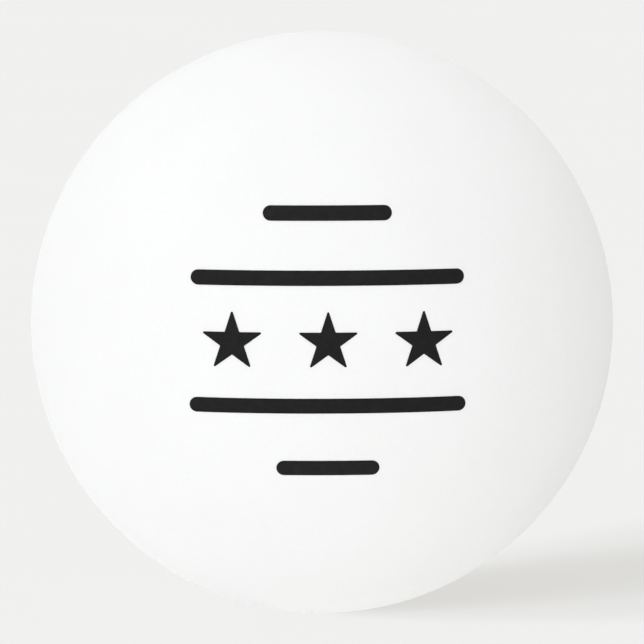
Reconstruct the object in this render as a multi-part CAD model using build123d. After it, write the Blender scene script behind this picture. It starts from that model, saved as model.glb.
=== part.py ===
"""Seamed table tennis ball, in millimetres.

Two thin moulded half shells meet at the ball's equator in a lap joint: the front half has an
inner tongue that slides into a rebate in the rear half, and a film of adhesive holds them.
Both walls thicken inwards to a belt beside the joint. The front half carries a pad-printed
stamp of bars and stars.

Frame: the origin is the ball's centre, +Z is up and the seam lies in the XZ plane. The front
half faces -Y and the rear half +Y. Each half shell is a body of revolution about Y.
"""
from build123d import *
import math
import os

# Driving dimensions
BALL_DIAMETER = 40.0
WALL = 0.47               # half shell's wall, away from the seam
BELT_WALL = 0.92          # both walls together at the seam
BELT_HALF_WIDTH = 1.7     # straight inner band, each side of the seam
BELT_RUN_OUT = 2.2        # length over which the belt fades into the wall
TONGUE_LENGTH = 1.2       # how far the front half reaches into the rear half
TONGUE_SHARE = 0.5        # tongue's share of the belt's wall
TONGUE_CHAMFER = 0.12     # lead-in at the tongue's tip
GLUE_FILM = 0.05          # clearance that the adhesive fills
GLUE_BEAD_RADIUS = 0.16   # adhesive squeezed out inside the ball

INK_FILM = 0.02           # thickness of the printed ink
PRINT_TILT = 6.1          # degrees that the stamp's middle lies above the front pole
PRINT_ROW_PITCH = 4.2
BAR_HEIGHT = 1.0
STAR_POINTS = 5
STAR_RADIUS = 2.15
STAR_PITCH = 6.3
STAR_CORNER_RADIUS = 0.07

# Bars of the stamp: name, row counted from the middle one, length
BARS = [
    ("top", 2, 8.5),
    ("upper", 1, 18.0),
    ("lower", -1, 18.2),
    ("bottom", -2, 6.8),
]

# Stars of the stamp, all on the middle row: name, column counted from the middle one
STARS = [("left", -1), ("centre", 0), ("right", 1)]

# Worked-out sizes
ball_radius = BALL_DIAMETER / 2
wall_radius = ball_radius - WALL
belt_radius = ball_radius - BELT_WALL
half_film = GLUE_FILM / 2
lap_radius = ball_radius - BELT_WALL * (1 - TONGUE_SHARE)
tongue_radius = lap_radius - half_film
rebate_radius = lap_radius + half_film
rebate_depth = TONGUE_LENGTH + GLUE_FILM
run_out_end = BELT_HALF_WIDTH + BELT_RUN_OUT
star_step = math.pi / STAR_POINTS
star_inner_radius = STAR_RADIUS * math.cos(2 * star_step) / math.cos(star_step)


def on_circle(radius, y):
    """Point of a circle about the origin, at height y on the ball's seam axis."""
    return (math.sqrt(radius**2 - y**2), y)


def belt_run_out(side):
    """Smooth curve from the belt's straight inner band out to the thin wall.

    side is -1 towards the front pole and +1 towards the rear pole.
    """
    start = (belt_radius, side * BELT_HALF_WIDTH)
    end = on_circle(wall_radius, side * run_out_end)
    end_tangent = (-side * end[1], side * end[0])
    return Spline(start, end, tangents=[(0, side), end_tangent])


def arc_to_pole(radius, start, side):
    """Arc about the origin, from start to the pole at that radius."""
    start_angle = math.atan2(start[1], start[0])
    middle_angle = (start_angle + side * math.pi / 2) / 2
    middle = (radius * math.cos(middle_angle), radius * math.sin(middle_angle))
    return ThreePointArc(start, middle, (0, side * radius))


def half_shell(side, joint_points):
    """Half ball on one side of the seam, as a turned profile.

    joint_points run across the wall at the seam, from the outside to the inner band.
    """
    outside = arc_to_pole(ball_radius, joint_points[0], side)
    joint = Polyline(*joint_points, (belt_radius, side * BELT_HALF_WIDTH))
    inside = arc_to_pole(wall_radius, on_circle(wall_radius, side * run_out_end), side)
    axis_line = Line((0, side * ball_radius), (0, side * wall_radius))
    profile = make_face([outside, joint, belt_run_out(side), inside, axis_line])
    return revolve(profile, Axis.Y)


def front_half_shell():
    """Front half, with the tongue that reaches past the seam inside the rear half."""
    joint_points = [
        on_circle(ball_radius, -half_film),
        (tongue_radius, -half_film),
        (tongue_radius, TONGUE_LENGTH - TONGUE_CHAMFER),
        (tongue_radius - TONGUE_CHAMFER, TONGUE_LENGTH),
        (belt_radius, TONGUE_LENGTH),
    ]
    return half_shell(-1, joint_points)


def rear_half_shell():
    """Rear half, with the rebate that takes the tongue."""
    joint_points = [
        on_circle(ball_radius, half_film),
        (rebate_radius, half_film),
        (rebate_radius, rebate_depth),
        (belt_radius, rebate_depth),
    ]
    return half_shell(1, joint_points)


def seam_adhesive():
    """Adhesive ring: it fills the lap joint's clearance and ends in a bead inside the ball."""
    outside_front = on_circle(ball_radius, -half_film)
    outside_rear = on_circle(ball_radius, half_film)
    bead_middle = TONGUE_LENGTH + half_film
    bead_front = (belt_radius, bead_middle - GLUE_BEAD_RADIUS)
    bead_rear = (belt_radius, bead_middle + GLUE_BEAD_RADIUS)
    tongue_side = Polyline(
        outside_front,
        (tongue_radius, -half_film),
        (tongue_radius, TONGUE_LENGTH - TONGUE_CHAMFER),
        (tongue_radius - TONGUE_CHAMFER, TONGUE_LENGTH),
        (belt_radius, TONGUE_LENGTH),
        bead_front,
    )
    bead = ThreePointArc(bead_front, (belt_radius - GLUE_BEAD_RADIUS, bead_middle), bead_rear)
    rebate_side = Polyline(
        bead_rear,
        (belt_radius, rebate_depth),
        (rebate_radius, rebate_depth),
        (rebate_radius, half_film),
        outside_rear,
    )
    outside = ThreePointArc(outside_rear, (ball_radius, 0), outside_front)
    return revolve(make_face([tongue_side, bead, rebate_side, outside]), Axis.Y)


def print_plane():
    """Plane through the ball's centre that faces the middle of the stamp."""
    tilt = math.radians(PRINT_TILT)
    return Plane(origin=(0, 0, 0), x_dir=(1, 0, 0), z_dir=(0, -math.cos(tilt), math.sin(tilt)))


def star_outline():
    """Regular five-pointed star with its corners just rounded, one point up."""
    corners = []
    for corner in range(2 * STAR_POINTS):
        radius = STAR_RADIUS if corner % 2 == 0 else star_inner_radius
        angle = math.pi / 2 + corner * star_step
        corners.append((radius * math.cos(angle), radius * math.sin(angle)))
    star = make_face(Polyline(*corners, close=True))
    return fillet(star.vertices(), STAR_CORNER_RADIUS)


def ink_patch(outline, column, row):
    """Ink film of one outline, laid on the front half's surface.

    column and row are the outline's middle in the stamp, right and up from its centre.
    """
    punch = extrude(print_plane() * Pos(column, row) * outline, BALL_DIAMETER)
    film = Sphere(ball_radius + INK_FILM) - Sphere(ball_radius)
    return film & punch


def printed_stamp():
    """Every ink patch of the stamp, by node name."""
    patches = {}
    for name, row, length in BARS:
        patches[f"print_bar_{name}"] = ink_patch(
            SlotOverall(length, BAR_HEIGHT), 0, row * PRINT_ROW_PITCH
        )
    for name, column in STARS:
        patches[f"print_star_{name}"] = ink_patch(star_outline(), column * STAR_PITCH, 0)
    return patches


def main():
    nodes = {
        "front_half_shell": front_half_shell(),
        "rear_half_shell": rear_half_shell(),
        "seam_adhesive": seam_adhesive(),
        **printed_stamp(),
    }
    os.makedirs("parts", exist_ok=True)
    for name, shape in nodes.items():
        export_step(shape, f"parts/{name}.step")
        print(f"{name}: {shape.volume:.3f} mm3")


main()
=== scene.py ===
"""Looks of the seamed table tennis ball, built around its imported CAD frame.

Everything is in metres in the row frame: the ball's centre is the origin, +Z is up, the seam
lies in the XZ plane and the stamped half faces -Y. Each CAD node is replaced by a finer closed
mesh of the same shape with a procedural material.
"""
import math

import bmesh
import bpy
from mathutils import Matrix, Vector, noise


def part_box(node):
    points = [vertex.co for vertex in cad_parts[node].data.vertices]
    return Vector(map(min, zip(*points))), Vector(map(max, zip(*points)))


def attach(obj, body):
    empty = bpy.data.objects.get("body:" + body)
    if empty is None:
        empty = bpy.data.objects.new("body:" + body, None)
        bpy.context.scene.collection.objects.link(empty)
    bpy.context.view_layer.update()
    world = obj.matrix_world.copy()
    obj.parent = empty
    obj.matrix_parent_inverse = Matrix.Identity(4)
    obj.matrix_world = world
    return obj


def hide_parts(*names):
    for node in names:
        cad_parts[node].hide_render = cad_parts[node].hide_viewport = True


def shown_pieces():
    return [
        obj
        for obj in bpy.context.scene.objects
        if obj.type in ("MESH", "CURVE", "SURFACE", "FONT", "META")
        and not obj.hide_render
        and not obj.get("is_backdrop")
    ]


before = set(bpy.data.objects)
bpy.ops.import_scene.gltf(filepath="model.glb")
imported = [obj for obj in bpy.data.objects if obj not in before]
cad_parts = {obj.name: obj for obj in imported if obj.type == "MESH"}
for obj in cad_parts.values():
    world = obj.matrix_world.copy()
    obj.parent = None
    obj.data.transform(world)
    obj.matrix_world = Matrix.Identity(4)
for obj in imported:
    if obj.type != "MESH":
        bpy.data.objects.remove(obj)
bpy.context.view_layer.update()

MM = 0.001

# Shells. The outside, the tongue's end and the glue film come from the CAD nodes' boxes.
ball_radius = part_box("rear_half_shell")[1].y
tongue_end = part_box("front_half_shell")[1].y
half_film = -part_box("seam_adhesive")[0].y
WALL = 0.47 * MM
BELT_WALL = 0.92 * MM
BELT_HALF_WIDTH = 1.7 * MM
BELT_RUN_OUT = 2.2 * MM
TONGUE_SHARE = 0.5               # tongue's share of the belt's wall
TONGUE_CHAMFER = 0.12 * MM
GLUE_BEAD_RADIUS = 0.16 * MM
RIM_RADIUS = 0.035 * MM          # rounding of each shell's outer rim at the seam
GLUE_SINK = 0.016 * MM           # how far the glue line lies below the ball's surface

wall_radius = ball_radius - WALL
belt_radius = ball_radius - BELT_WALL
lap_radius = ball_radius - BELT_WALL * (1 - TONGUE_SHARE)
tongue_radius = lap_radius - half_film
rebate_radius = lap_radius + half_film
rebate_end = tongue_end + 2 * half_film
run_out_end = BELT_HALF_WIDTH + BELT_RUN_OUT

# Both sides of the lap joint in the (radius, y) plane, from the seam to the inner band
tongue_side = [
    (tongue_radius, -half_film),
    (tongue_radius, tongue_end - TONGUE_CHAMFER),
    (tongue_radius - TONGUE_CHAMFER, tongue_end),
    (belt_radius, tongue_end),
]
rebate_side = [
    (rebate_radius, half_film),
    (rebate_radius, rebate_end),
    (belt_radius, rebate_end),
]

# Mesh fineness
TURN_STEPS = 288                 # around the seam's axis
OUTSIDE_STEPS = 150              # from pole to seam
INSIDE_STEPS = 70
CURVE_STEPS = 12                 # along each small curve
SHARP_ANGLE = math.radians(35)
MERGE_DISTANCE = 1e-5 * MM

# Stamp, in the print plane through the ball's centre
PRINT_TILT = math.radians(6.1)
PRINT_ROW_PITCH = 4.2 * MM
BAR_HALF_HEIGHT = 0.5 * MM
STAR_POINTS = 5
STAR_RADIUS = 2.15 * MM
STAR_PITCH = 6.3 * MM
STAR_CORNER_RADIUS = 0.07 * MM
INK_FILM = 0.02 * MM
BARS = [                         # name, row counted from the middle one, length
    ("top", 2, 8.5 * MM),
    ("upper", 1, 18.0 * MM),
    ("lower", -1, 18.2 * MM),
    ("bottom", -2, 6.8 * MM),
]
STARS = [("left", -1), ("centre", 0), ("right", 1)]
INK_OUTLINE_STEP = 0.1 * MM      # spacing of the points along an ink patch's edge
INK_EDGE_WOBBLE = 0.006 * MM
INK_EDGE_WOBBLE_LENGTH = 0.25 * MM
INK_RING_STEP = 0.22 * MM        # spacing of the rings inside an ink patch
INK_MIN_RINGS = 2
INK_EDGE_STEPS = 4               # rounding of an ink patch's edge

print_right = Vector((1, 0, 0))
print_up = Vector((0, math.sin(PRINT_TILT), math.cos(PRINT_TILT)))
print_out = Vector((0, -math.cos(PRINT_TILT), math.sin(PRINT_TILT)))

# Looks. Colours are linear. A pair is the two ends of a range that noise runs through.
NOISE_SPAN = (0.3, 0.7)          # where nearly all of a noise texture's values lie
CLOUD_SIZE = 7 * MM
MOTTLE_SIZE = 0.22 * MM
SHELL_DARK = ((0.811, 0.807, 0.789), (0.823, 0.819, 0.803))
SHELL_LIGHT = ((0.829, 0.825, 0.808), (0.841, 0.837, 0.822))
SHELL_ROUGHNESS = (0.54, 0.70)
SHELL_ROUGHNESS_SIZE = 1.6 * MM
SHELL_PEEL_SIZE = 0.9 * MM       # soft waviness left by the mould
SHELL_PEEL_HEIGHT = 0.006 * MM
SHELL_GRAIN_SIZE = 0.16 * MM     # fine grain left by tumbling
SHELL_GRAIN_HEIGHT = 0.005 * MM
SHELL_GLOSS = 0.18
SHELL_SCATTER_SHARE = 0.2        # light that enters the plastic and leaves beside its entry
SHELL_SCATTER_REACH = 0.4 * MM
SHELL_SCATTER_RGB = (1.0, 0.9, 0.8)
CEMENT_COLOUR = ((0.60, 0.57, 0.50), (0.72, 0.70, 0.64))
CEMENT_COLOUR_SIZE = 0.8 * MM
CEMENT_ROUGHNESS = (0.3, 0.5)
CEMENT_ROUGHNESS_SIZE = 0.3 * MM
CEMENT_BUBBLE_SIZE = 0.1 * MM
CEMENT_BUBBLE_HEIGHT = 0.002 * MM
INK_COLOUR = ((0.0045, 0.0045, 0.0047), (0.0075, 0.0075, 0.0077))
INK_COLOUR_SIZE = 0.5 * MM
INK_ROUGHNESS = (0.5, 0.66)
INK_ROUGHNESS_SIZE = 0.35 * MM
INK_GRAIN_SIZE = 0.09 * MM
INK_GRAIN_HEIGHT = 0.0015 * MM
INK_GLOSS = 0.16
FLOOR_COLOUR = ((0.163, 0.163, 0.163), (0.169, 0.169, 0.169))
FLOOR_COLOUR_SIZE = 20 * MM
FLOOR_ROUGHNESS = 0.9
FLOOR_GLOW = 0.58
FLOOR_GLOW_COLOUR = (1.0, 0.990, 0.955)

# Camera and light
CAMERA_AZIMUTH = math.radians(-1.2)
CAMERA_ELEVATION = math.radians(10)
CAMERA_DISTANCE = 0.40
CAMERA_CLIP_START = 0.04
BALL_SHARE_OF_FRAME = 0.9035     # the ball's outline over the frame's width
SENSOR_WIDTH = 36.0              # in Blender's own millimetres
FLOOR_HALF_WIDTH = 8.0
SURROUND = (0.87, 0.87, 0.87)
COOL_LIGHT = (0.96, 0.99, 1.08)
# Lamps as the ball sees them: name, azimuth from -Y towards +X, elevation, width, strength.
# The angles are in degrees.
BALL_LAMPS = [
    ("left_key", -90, 1, 180, 0.64),
    ("top_light", -7, 42, 74, 0.61),
    ("low_card", 4, -60, 30, 0.34),
]
FLOOR_LAMPS = [
    ("shadow_key", -60, 1.5, 11, 42.0),
    ("shadow_side", -75, 6, 8, 14.0),
]


# ---------------------------------------------------------------- turned meshes

def arc(centre, radius, start, end, steps):
    """Points of a circular arc in the (radius, y) plane; the angles are from the radius axis."""
    points = []
    for step in range(steps + 1):
        angle = start + (end - start) * step / steps
        points.append((centre[0] + radius * math.cos(angle), centre[1] + radius * math.sin(angle)))
    return points


def on_circle(radius, y):
    """Point of a circle about the origin, in the (radius, y) plane."""
    return (math.sqrt(radius**2 - y**2), y)


def smoothstep(share):
    """Share from 0 to 1 that starts and ends level."""
    return share * share * (3 - 2 * share)


def mesh_piece(name, vertices, faces):
    """New object with merged points, outward normals and smooth shading up to sharp edges."""
    mesh = bpy.data.meshes.new(name)
    mesh.from_pydata(vertices, [], faces)
    work = bmesh.new()
    work.from_mesh(mesh)
    bmesh.ops.remove_doubles(work, verts=work.verts, dist=MERGE_DISTANCE)
    bmesh.ops.recalc_face_normals(work, faces=work.faces)
    for face in work.faces:
        face.smooth = True
    work.to_mesh(mesh)
    work.free()
    mesh.set_sharp_from_angle(angle=SHARP_ANGLE)
    piece = bpy.data.objects.new(name, mesh)
    bpy.context.scene.collection.objects.link(piece)
    return piece


def turned(name, outline):
    """Closed body of revolution about Y. outline is a closed loop of (radius, y) points."""
    count = len(outline)
    vertices = []
    for turn in range(TURN_STEPS):
        angle = 2 * math.pi * turn / TURN_STEPS
        for radius, y in outline:
            vertices.append((radius * math.cos(angle), y, radius * math.sin(angle)))
    faces = []
    for turn in range(TURN_STEPS):
        here = turn * count
        beside = (turn + 1) % TURN_STEPS * count
        for point in range(count):
            after = (point + 1) % count
            if outline[point][0] == 0 and outline[after][0] == 0:
                continue
            ring = (here + point, here + after, beside + after, beside + point)
            if outline[point][0] == 0:
                ring = ring[:3]
            elif outline[after][0] == 0:
                ring = (ring[0], ring[1], ring[3])
            faces.append(ring)
    return mesh_piece(name, vertices, faces)


def half_shell(name, side, joint_points):
    """One half shell: side is -1 for the front and 1 for the rear.

    joint_points cross the wall from the rim's rounding to the inner band.
    """
    rim_angle = math.asin((half_film + RIM_RADIUS) / (ball_radius - RIM_RADIUS))
    outside = arc((0, 0), ball_radius, side * math.pi / 2, side * rim_angle, OUTSIDE_STEPS)
    outside[0] = (0, side * ball_radius)
    rim_centre = on_circle(ball_radius - RIM_RADIUS, side * (half_film + RIM_RADIUS))
    rim = arc(rim_centre, RIM_RADIUS, side * rim_angle, -side * math.pi / 2, CURVE_STEPS)
    run_out = []
    for step in range(CURVE_STEPS + 1):
        share = step / CURVE_STEPS
        y = BELT_HALF_WIDTH + BELT_RUN_OUT * share
        radius = belt_radius + (on_circle(wall_radius, y)[0] - belt_radius) * smoothstep(share)
        run_out.append((radius, side * y))
    inside_start = math.asin(run_out_end / wall_radius)
    inside = arc((0, 0), wall_radius, side * inside_start, side * math.pi / 2, INSIDE_STEPS)
    inside[-1] = (0, side * wall_radius)
    return turned(name, outside + rim[1:] + joint_points + run_out + inside[1:])


def glue_ring():
    """Glue line in the lap joint, a little sunk at the seam and beaded inside the ball."""
    bead_middle = (tongue_end + rebate_end) / 2
    glue_face = ball_radius - RIM_RADIUS
    outside = [
        (glue_face, half_film),
        (ball_radius - GLUE_SINK, 0),
        (glue_face, -half_film),
    ]
    bead_centre = (belt_radius, bead_middle)
    bead = arc(bead_centre, GLUE_BEAD_RADIUS, -math.pi / 2, -3 * math.pi / 2, CURVE_STEPS)
    return turned("seam_glue", outside + tongue_side + bead + rebate_side[::-1])


# ---------------------------------------------------------------- printed ink

def flat_arc(centre, radius, start, end):
    return [Vector(point) for point in arc(centre, radius, start, end, CURVE_STEPS)]


def joined(arcs):
    """Closed edge through the arcs in turn, with evenly spaced points on the runs between them."""
    edge = []
    for here, following in zip(arcs, arcs[1:] + arcs[:1]):
        start = here[-1]
        end = following[0]
        steps = round((end - start).length / INK_OUTLINE_STEP)
        edge += here
        edge += [start.lerp(end, step / steps) for step in range(1, steps)]
    return edge


def bar_outline(length):
    """Round-ended bar: its edge points, and for each the nearest point of its spine."""
    spine_half = length / 2 - BAR_HALF_HEIGHT
    right_end = flat_arc((spine_half, 0), BAR_HALF_HEIGHT, -math.pi / 2, math.pi / 2)
    left_end = flat_arc((-spine_half, 0), BAR_HALF_HEIGHT, math.pi / 2, 3 * math.pi / 2)
    edge = joined([right_end, left_end])
    spine = [Vector((min(max(point.x, -spine_half), spine_half), 0)) for point in edge]
    return edge, spine


def star_corner(angle, radius, half_angle, side):
    """Rounding of one corner of a star. side is 1 at a tip and -1 at a notch."""
    distance = radius - side * STAR_CORNER_RADIUS / math.sin(half_angle)
    centre = (distance * math.cos(angle), distance * math.sin(angle))
    facing = angle if side > 0 else angle + math.pi
    swing = side * (math.pi / 2 - half_angle)
    return flat_arc(centre, STAR_CORNER_RADIUS, facing - swing, facing + swing)


def star_outline():
    """Five-pointed star with just rounded corners; its spine is its centre."""
    step_angle = math.pi / STAR_POINTS
    tip_half_angle = step_angle / 2
    notch_half_angle = tip_half_angle + step_angle
    notch_radius = STAR_RADIUS * math.cos(2 * step_angle) / math.cos(step_angle)
    corners = []
    for point in range(STAR_POINTS):
        tip_angle = math.pi / 2 + 2 * point * step_angle
        corners.append(star_corner(tip_angle, STAR_RADIUS, tip_half_angle, 1))
        corners.append(star_corner(tip_angle + step_angle, notch_radius, notch_half_angle, -1))
    edge = joined(corners)
    return edge, [Vector((0, 0))] * len(edge)


def wobbled(edge, spine, seed):
    """Edge points moved in and out a little, as a pad print's edge is."""
    moved = []
    for point, middle in zip(edge, spine):
        place = Vector((point.x, point.y, seed)) / INK_EDGE_WOBBLE_LENGTH
        outward = (point - middle).normalized()
        moved.append(point + outward * INK_EDGE_WOBBLE * noise.noise(place))
    return moved


def ink_levels(reach):
    """Rings of an ink film that reaches this far from its spine, from under it to over it.

    Each ring is its share of the reach and its share of the film's thickness.
    """
    inner_rings = max(INK_MIN_RINGS, round(reach / INK_RING_STEP))
    levels = [(ring / inner_rings, 0) for ring in range(inner_rings)]
    for step in range(INK_EDGE_STEPS + 1):
        lift = math.pi / 2 * step / INK_EDGE_STEPS
        levels.append((1 - (1 - math.cos(lift)) * INK_FILM / reach, math.sin(lift)))
    levels += [(ring / inner_rings, 1) for ring in range(inner_rings - 1, -1, -1)]
    return levels


def on_ball(flat, height):
    """Point of the print plane laid on the ball, at a share of the ink film's thickness."""
    radius = ball_radius + INK_FILM * height
    depth = math.sqrt(radius**2 - flat.length_squared)
    return print_right * flat.x + print_up * flat.y + print_out * depth


def ink_patch(name, outline, column, row, seed):
    """Closed ink film on the front shell, with a rounded and slightly uneven edge."""
    edge, spine = outline
    edge = wobbled(edge, spine, seed)
    reach = max((point - middle).length for point, middle in zip(edge, spine))
    levels = ink_levels(reach)
    centre = Vector((column, row))
    vertices = []
    for scale, height in levels:
        for point, middle in zip(edge, spine):
            vertices.append(on_ball(centre + middle + (point - middle) * scale, height))
    count = len(edge)
    faces = []
    for level in range(len(levels) - 1):
        for point in range(count):
            after = (point + 1) % count
            low = level * count
            high = low + count
            faces.append((low + point, low + after, high + after, high + point))
    return mesh_piece(name, vertices, faces)


# ---------------------------------------------------------------- materials

# Colour sockets of the Mix node, by number because its number, vector and colour sockets share names
MIX_FIRST = 6
MIX_SECOND = 7
MIX_RESULT = 2


class Surface:
    """Node material with one Principled BSDF. Its textures are fixed to the object's own frame."""

    def __init__(self, name):
        self.material = bpy.data.materials.new(name)
        self.material.use_nodes = True
        self.tree = self.material.node_tree
        self.shader = self.tree.nodes["Principled BSDF"]
        self.place = self.tree.nodes.new("ShaderNodeTexCoord").outputs["Object"]

    def set(self, **values):
        for socket, value in values.items():
            self.shader.inputs[socket.replace("_", " ")].default_value = value

    def link(self, output, socket):
        self.tree.links.new(output, self.shader.inputs[socket])

    def noise(self, size, detail=3.0, roughness=0.5):
        """Noise from 0 to 1 whose blotches are about size metres."""
        node = self.tree.nodes.new("ShaderNodeTexNoise")
        node.inputs["Scale"].default_value = 1 / size
        node.inputs["Detail"].default_value = detail
        node.inputs["Roughness"].default_value = roughness
        self.tree.links.new(self.place, node.inputs["Vector"])
        return node.outputs["Fac"]

    def between(self, fac, low, high):
        """Number that goes from low to high as a noise runs through its span."""
        node = self.tree.nodes.new("ShaderNodeMapRange")
        node.inputs["From Min"].default_value = NOISE_SPAN[0]
        node.inputs["From Max"].default_value = NOISE_SPAN[1]
        node.inputs["To Min"].default_value = low
        node.inputs["To Max"].default_value = high
        self.tree.links.new(fac, node.inputs["Value"])
        return node.outputs["Result"]

    def mix(self, fac, first, second):
        """Colour between two, where either can be a colour or another node's output."""
        node = self.tree.nodes.new("ShaderNodeMix")
        node.data_type = "RGBA"
        self.tree.links.new(fac, node.inputs["Factor"])
        for index, colour in ((MIX_FIRST, first), (MIX_SECOND, second)):
            socket = node.inputs[index]
            if isinstance(colour, bpy.types.NodeSocket):
                self.tree.links.new(colour, socket)
            else:
                socket.default_value = (*colour, 1)
        return node.outputs[MIX_RESULT]

    def bump(self, fac, height, normal=None):
        """Bump of the given height in metres, on top of another bump's normal."""
        node = self.tree.nodes.new("ShaderNodeBump")
        node.inputs["Distance"].default_value = height
        self.tree.links.new(fac, node.inputs["Height"])
        if normal is not None:
            self.tree.links.new(normal, node.inputs["Normal"])
        return node.outputs["Normal"]


def shell_material():
    """Matte tumbled plastic: faint clouding, a fine mottle and grain, and light in its depth."""
    surface = Surface("shell_plastic")
    cloud = surface.between(surface.noise(CLOUD_SIZE, detail=2), 0, 1)
    mottle = surface.between(surface.noise(MOTTLE_SIZE, detail=4, roughness=0.6), 0, 1)
    light = surface.mix(cloud, *SHELL_LIGHT)
    dark = surface.mix(cloud, *SHELL_DARK)
    surface.link(surface.mix(mottle, dark, light), "Base Color")
    surface.link(surface.between(surface.noise(SHELL_ROUGHNESS_SIZE), *SHELL_ROUGHNESS), "Roughness")
    peel = surface.bump(surface.noise(SHELL_PEEL_SIZE, detail=2), SHELL_PEEL_HEIGHT)
    grain = surface.noise(SHELL_GRAIN_SIZE, detail=3)
    surface.link(surface.bump(grain, SHELL_GRAIN_HEIGHT, peel), "Normal")
    surface.set(Specular_IOR_Level=SHELL_GLOSS, Subsurface_Weight=SHELL_SCATTER_SHARE)
    surface.set(Subsurface_Scale=SHELL_SCATTER_REACH, Subsurface_Radius=SHELL_SCATTER_RGB)
    return surface.material


def glue_material():
    """Cured solvent cement: yellower and glossier than the shells, with tiny bubbles."""
    surface = Surface("seam_cement")
    surface.link(surface.mix(surface.noise(CEMENT_COLOUR_SIZE), *CEMENT_COLOUR), "Base Color")
    surface.link(surface.between(surface.noise(CEMENT_ROUGHNESS_SIZE), *CEMENT_ROUGHNESS), "Roughness")
    surface.link(surface.bump(surface.noise(CEMENT_BUBBLE_SIZE), CEMENT_BUBBLE_HEIGHT), "Normal")
    return surface.material


def ink_material():
    """Near-black pad-printing ink: slightly uneven density and a fine dry grain."""
    surface = Surface("stamp_ink")
    density = surface.between(surface.noise(INK_COLOUR_SIZE), 0, 1)
    surface.link(surface.mix(density, *INK_COLOUR), "Base Color")
    surface.link(surface.between(surface.noise(INK_ROUGHNESS_SIZE), *INK_ROUGHNESS), "Roughness")
    surface.link(surface.bump(surface.noise(INK_GRAIN_SIZE, detail=2), INK_GRAIN_HEIGHT), "Normal")
    surface.set(Specular_IOR_Level=INK_GLOSS)
    return surface.material


def floor_material():
    """Pale translucent table top, lit mostly from below so that it stays even around the ball."""
    surface = Surface("pale_floor")
    surface.link(surface.mix(surface.noise(FLOOR_COLOUR_SIZE), *FLOOR_COLOUR), "Base Color")
    surface.set(Roughness=FLOOR_ROUGHNESS, Specular_IOR_Level=0.0)
    surface.set(Emission_Color=(*FLOOR_GLOW_COLOUR, 1), Emission_Strength=FLOOR_GLOW)
    return surface.material


# ---------------------------------------------------------------- object

def finish_piece(piece, material, node):
    """Give a piece its material, and let it stand in for its CAD node."""
    piece.data.materials.append(material)
    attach(piece, "root")
    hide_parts(node)


def make_ball():
    shell = shell_material()
    front = half_shell("shell_front", -1, tongue_side)
    rear = half_shell("shell_rear", 1, rebate_side)
    finish_piece(front, shell, "front_half_shell")
    finish_piece(rear, shell, "rear_half_shell")
    finish_piece(glue_ring(), glue_material(), "seam_adhesive")
    ink = ink_material()
    for seed, (name, row, length) in enumerate(BARS):
        patch = ink_patch(f"ink_bar_{name}", bar_outline(length), 0, row * PRINT_ROW_PITCH, seed)
        finish_piece(patch, ink, f"print_bar_{name}")
    for seed, (name, column) in enumerate(STARS, start=len(BARS)):
        patch = ink_patch(f"ink_star_{name}", star_outline(), column * STAR_PITCH, 0, seed)
        finish_piece(patch, ink, f"print_star_{name}")


# ---------------------------------------------------------------- stage

def make_floor():
    corners = [(-1, -1), (1, -1), (1, 1), (-1, 1)]
    vertices = [(x * FLOOR_HALF_WIDTH, y * FLOOR_HALF_WIDTH, -ball_radius) for x, y in corners]
    mesh = bpy.data.meshes.new("floor")
    mesh.from_pydata(vertices, [], [(0, 1, 2, 3)])
    mesh.materials.append(floor_material())
    floor = bpy.data.objects.new("floor", mesh)
    bpy.context.scene.collection.objects.link(floor)
    floor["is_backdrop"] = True
    return floor


def direction(azimuth, elevation):
    """Unit vector away from the ball. Azimuth 0 is in front of the stamp, and turns towards +X."""
    return Vector((
        math.sin(azimuth) * math.cos(elevation),
        -math.cos(azimuth) * math.cos(elevation),
        math.sin(elevation),
    ))


def aimed(away):
    """Rotation that points a lamp's or camera's -Z against away, a vector from the ball."""
    return away.to_track_quat("Z", "Y")


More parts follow.
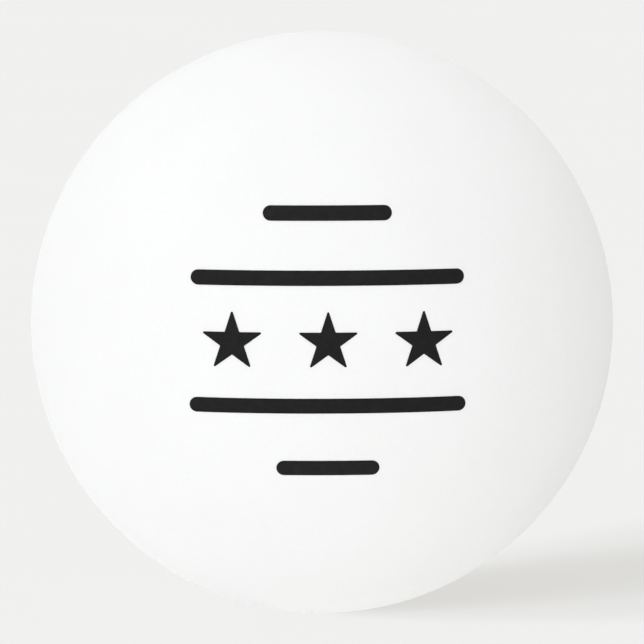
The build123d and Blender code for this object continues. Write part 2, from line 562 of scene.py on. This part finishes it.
def collection_of(name, members):
    """New collection, outside the scene's own, for lamps to be linked to."""
    collection = bpy.data.collections.new(name)
    for member in members:
        collection.objects.link(member)
    return collection


def make_lamps(lamps, lit, shading):
    """Distant soft lamps that light one collection and are shaded only by the other."""
    for name, azimuth, elevation, width, strength in lamps:
        away = direction(math.radians(azimuth), math.radians(elevation))
        lamp = bpy.data.lights.new(name, "SUN")
        lamp.energy = strength
        lamp.angle = math.radians(width)
        lamp.color = COOL_LIGHT
        # With it on, wide lamps that have a blocker collection lose part of their light.
        lamp.cycles.use_multiple_importance_sampling = False
        lamp_object = bpy.data.objects.new(name, lamp)
        lamp_object.rotation_mode = "QUATERNION"
        lamp_object.rotation_quaternion = aimed(away)
        lamp_object.light_linking.receiver_collection = lit
        lamp_object.light_linking.blocker_collection = shading
        bpy.context.scene.collection.objects.link(lamp_object)


def make_lights(floor):
    """Even pale surround, soft lamps on the ball, and low lamps that draw its shadow."""
    ball = collection_of("ball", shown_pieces())
    make_lamps(BALL_LAMPS, ball, ball)
    make_lamps(FLOOR_LAMPS, collection_of("lit_floor", [floor]), ball)
    world = bpy.data.worlds.new("surround")
    world.use_nodes = True
    world.node_tree.nodes["Background"].inputs["Color"].default_value = (*SURROUND, 1)
    bpy.context.scene.world = world


def make_camera():
    """Camera at the photograph's viewing angle, framed so that the ball's outline fills its share."""
    away = direction(CAMERA_AZIMUTH, CAMERA_ELEVATION)
    outline_slope = math.tan(math.asin(ball_radius / CAMERA_DISTANCE))
    camera = bpy.data.cameras.new("camera")
    camera.sensor_width = SENSOR_WIDTH
    camera.lens = SENSOR_WIDTH * BALL_SHARE_OF_FRAME / (2 * outline_slope)
    camera.clip_start = CAMERA_CLIP_START
    camera_object = bpy.data.objects.new("camera", camera)
    camera_object.location = away * CAMERA_DISTANCE
    camera_object.rotation_mode = "QUATERNION"
    camera_object.rotation_quaternion = aimed(away)
    bpy.context.scene.collection.objects.link(camera_object)
    bpy.context.scene.camera = camera_object


make_camera()
make_ball()
make_lights(make_floor())
bpy.context.scene.view_settings.view_transform = "Standard"
